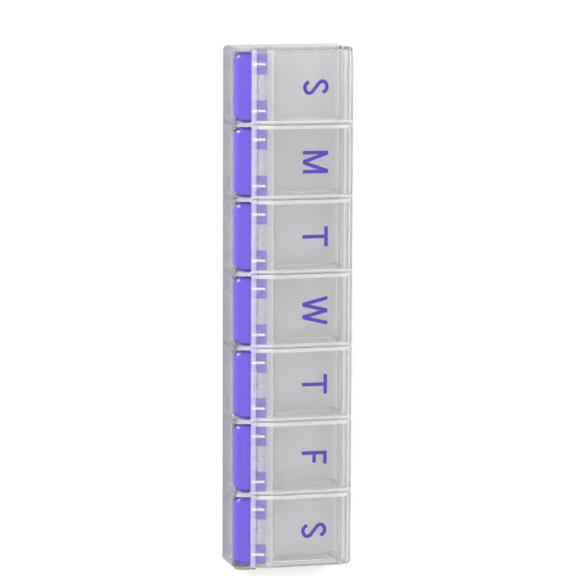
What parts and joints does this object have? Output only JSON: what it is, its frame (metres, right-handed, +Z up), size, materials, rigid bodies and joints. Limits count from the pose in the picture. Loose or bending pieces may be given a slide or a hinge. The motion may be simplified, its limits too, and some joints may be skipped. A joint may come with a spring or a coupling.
{
  "type": "weekly pill box",
  "caption": "Long low pill box with a row of day compartments, each with a hinged clear lid opened by a sloping push button.",
  "frame": {"origin": "centre of the footprint, on the surface the box rests on", "axes": "+X along the row of days from Sunday to Saturday, +Y from the buttons to the hinges, +Z up"},
  "size_m": [0.22, 0.051, 0.025],
  "materials": {
    "tray_plastic": "natural translucent moulded polypropylene",
    "lid_plastic": "natural translucent moulded polypropylene, satin outside",
    "button_plastic": "purple moulded polypropylene, satin",
    "spring_plastic": "natural white moulded acetal"
  },
  "bodies": {
    "tray": {"base_tray": "tray_plastic", "spring_sunday": "spring_plastic", "spring_monday": "spring_plastic", "spring_tuesday": "spring_plastic", "spring_wednesday": "spring_plastic", "spring_thursday": "spring_plastic", "spring_friday": "spring_plastic", "spring_saturday": "spring_plastic"},
    "lid_sunday": {"lid_sunday": "lid_plastic"},
    "button_sunday": {"button_sunday": "button_plastic"},
    "lid_monday": {"lid_monday": "lid_plastic"},
    "button_monday": {"button_monday": "button_plastic"},
    "lid_tuesday": {"lid_tuesday": "lid_plastic"},
    "button_tuesday": {"button_tuesday": "button_plastic"},
    "lid_wednesday": {"lid_wednesday": "lid_plastic"},
    "button_wednesday": {"button_wednesday": "button_plastic"},
    "lid_thursday": {"lid_thursday": "lid_plastic"},
    "button_thursday": {"button_thursday": "button_plastic"},
    "lid_friday": {"lid_friday": "lid_plastic"},
    "button_friday": {"button_friday": "button_plastic"},
    "lid_saturday": {"lid_saturday": "lid_plastic"},
    "button_saturday": {"button_saturday": "button_plastic"}
  },
  "joints": [
    {"name": "lid_sunday_hinge", "type": "hinge", "parent": "tray", "child": "lid_sunday", "pos_m": [-0.0936, 0.0229, 0.0198], "axis": [-1, 0, 0], "range_deg": [0, 105]},
    {"name": "button_sunday_press", "type": "hinge", "parent": "tray", "child": "button_sunday", "pos_m": [-0.0936, -0.0231, 0.0028], "axis": [-1, 0, 0], "range_deg": [0, 7], "stiffness_Nm_per_rad": 0.15, "springref_deg": -2.86, "deforming": ["spring_sunday"]},
    {"name": "lid_monday_hinge", "type": "hinge", "parent": "tray", "child": "lid_monday", "pos_m": [-0.0624, 0.0229, 0.0198], "axis": [-1, 0, 0], "range_deg": [0, 105]},
    {"name": "button_monday_press", "type": "hinge", "parent": "tray", "child": "button_monday", "pos_m": [-0.0624, -0.0231, 0.0028], "axis": [-1, 0, 0], "range_deg": [0, 7], "stiffness_Nm_per_rad": 0.15, "springref_deg": -2.86, "deforming": ["spring_monday"]},
    {"name": "lid_tuesday_hinge", "type": "hinge", "parent": "tray", "child": "lid_tuesday", "pos_m": [-0.0312, 0.0229, 0.0198], "axis": [-1, 0, 0], "range_deg": [0, 105]},
    {"name": "button_tuesday_press", "type": "hinge", "parent": "tray", "child": "button_tuesday", "pos_m": [-0.0312, -0.0231, 0.0028], "axis": [-1, 0, 0], "range_deg": [0, 7], "stiffness_Nm_per_rad": 0.15, "springref_deg": -2.86, "deforming": ["spring_tuesday"]},
    {"name": "lid_wednesday_hinge", "type": "hinge", "parent": "tray", "child": "lid_wednesday", "pos_m": [0, 0.0229, 0.0198], "axis": [-1, 0, 0], "range_deg": [0, 105]},
    {"name": "button_wednesday_press", "type": "hinge", "parent": "tray", "child": "button_wednesday", "pos_m": [0, -0.0231, 0.0028], "axis": [-1, 0, 0], "range_deg": [0, 7], "stiffness_Nm_per_rad": 0.15, "springref_deg": -2.86, "deforming": ["spring_wednesday"]},
    {"name": "lid_thursday_hinge", "type": "hinge", "parent": "tray", "child": "lid_thursday", "pos_m": [0.0312, 0.0229, 0.0198], "axis": [-1, 0, 0], "range_deg": [0, 105]},
    {"name": "button_thursday_press", "type": "hinge", "parent": "tray", "child": "button_thursday", "pos_m": [0.0312, -0.0231, 0.0028], "axis": [-1, 0, 0], "range_deg": [0, 7], "stiffness_Nm_per_rad": 0.15, "springref_deg": -2.86, "deforming": ["spring_thursday"]},
    {"name": "lid_friday_hinge", "type": "hinge", "parent": "tray", "child": "lid_friday", "pos_m": [0.0624, 0.0229, 0.0198], "axis": [-1, 0, 0], "range_deg": [0, 105]},
    {"name": "button_friday_press", "type": "hinge", "parent": "tray", "child": "button_friday", "pos_m": [0.0624, -0.0231, 0.0028], "axis": [-1, 0, 0], "range_deg": [0, 7], "stiffness_Nm_per_rad": 0.15, "springref_deg": -2.86, "deforming": ["spring_friday"]},
    {"name": "lid_saturday_hinge", "type": "hinge", "parent": "tray", "child": "lid_saturday", "pos_m": [0.0936, 0.0229, 0.0198], "axis": [-1, 0, 0], "range_deg": [0, 105]},
    {"name": "button_saturday_press", "type": "hinge", "parent": "tray", "child": "button_saturday", "pos_m": [0.0936, -0.0231, 0.0028], "axis": [-1, 0, 0], "range_deg": [0, 7], "stiffness_Nm_per_rad": 0.15, "springref_deg": -2.86, "deforming": ["spring_saturday"]}
  ]
}
